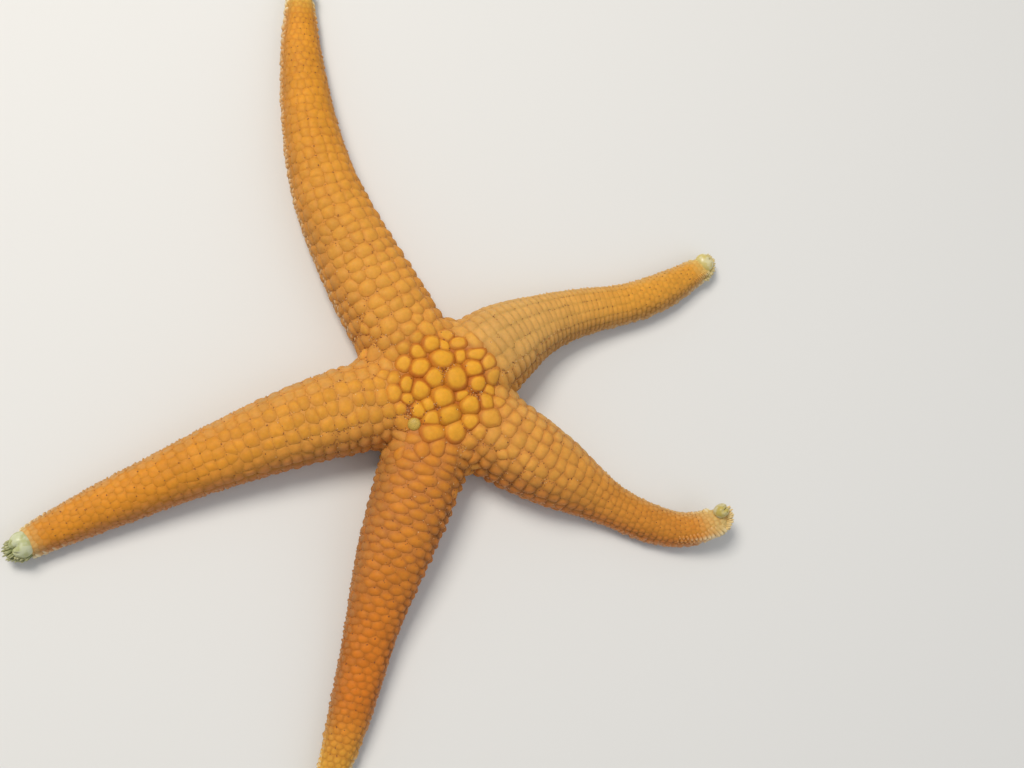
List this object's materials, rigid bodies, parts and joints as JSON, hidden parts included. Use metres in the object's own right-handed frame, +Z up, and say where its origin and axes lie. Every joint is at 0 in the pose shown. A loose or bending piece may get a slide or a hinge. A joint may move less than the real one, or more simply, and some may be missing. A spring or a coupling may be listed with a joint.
{
  "type": "starfish",
  "caption": "Orange sea star lying flat, with long tapering arms of smooth plates in rows, pale upturned tips, tube feet in open furrows and a round sieve plate on the disc.",
  "frame": {"origin": "on the floor, under the middle of the whole animal's box", "axes": "+Z up out of the animal's back, +X towards the right of the picture, +Y towards its top"},
  "size_m": [0.1772, 0.2064, 0.0184],
  "materials": {
    "arm_plates": "satin, limy plates under a thin orange skin",
    "disc_plates": "satin, large domed plates, yolk yellow to orange",
    "skin": "matt, granular skin in the grooves, the mouth and the feet",
    "end_plate": "smooth, pale yellow green",
    "sieve_plate": "finely grooved, yellow green"
  },
  "bodies": {
    "root": {"disc": "disc_plates", "madreporite": "sieve_plate", "mouth": "skin", "north_base": "arm_plates", "north_middle": "arm_plates", "north_end": "arm_plates", "north_tip": "end_plate", "east_base": "arm_plates", "east_middle": "arm_plates", "east_end": "arm_plates", "east_tip": "end_plate", "southeast_base": "arm_plates", "southeast_middle": "arm_plates", "southeast_end": "arm_plates", "southeast_tip": "end_plate", "south_base": "arm_plates", "south_middle": "arm_plates", "south_end": "arm_plates", "south_tip": "end_plate", "west_base": "arm_plates", "west_middle": "arm_plates", "west_end": "arm_plates", "west_tip": "end_plate"}
  },
  "joints": []
}
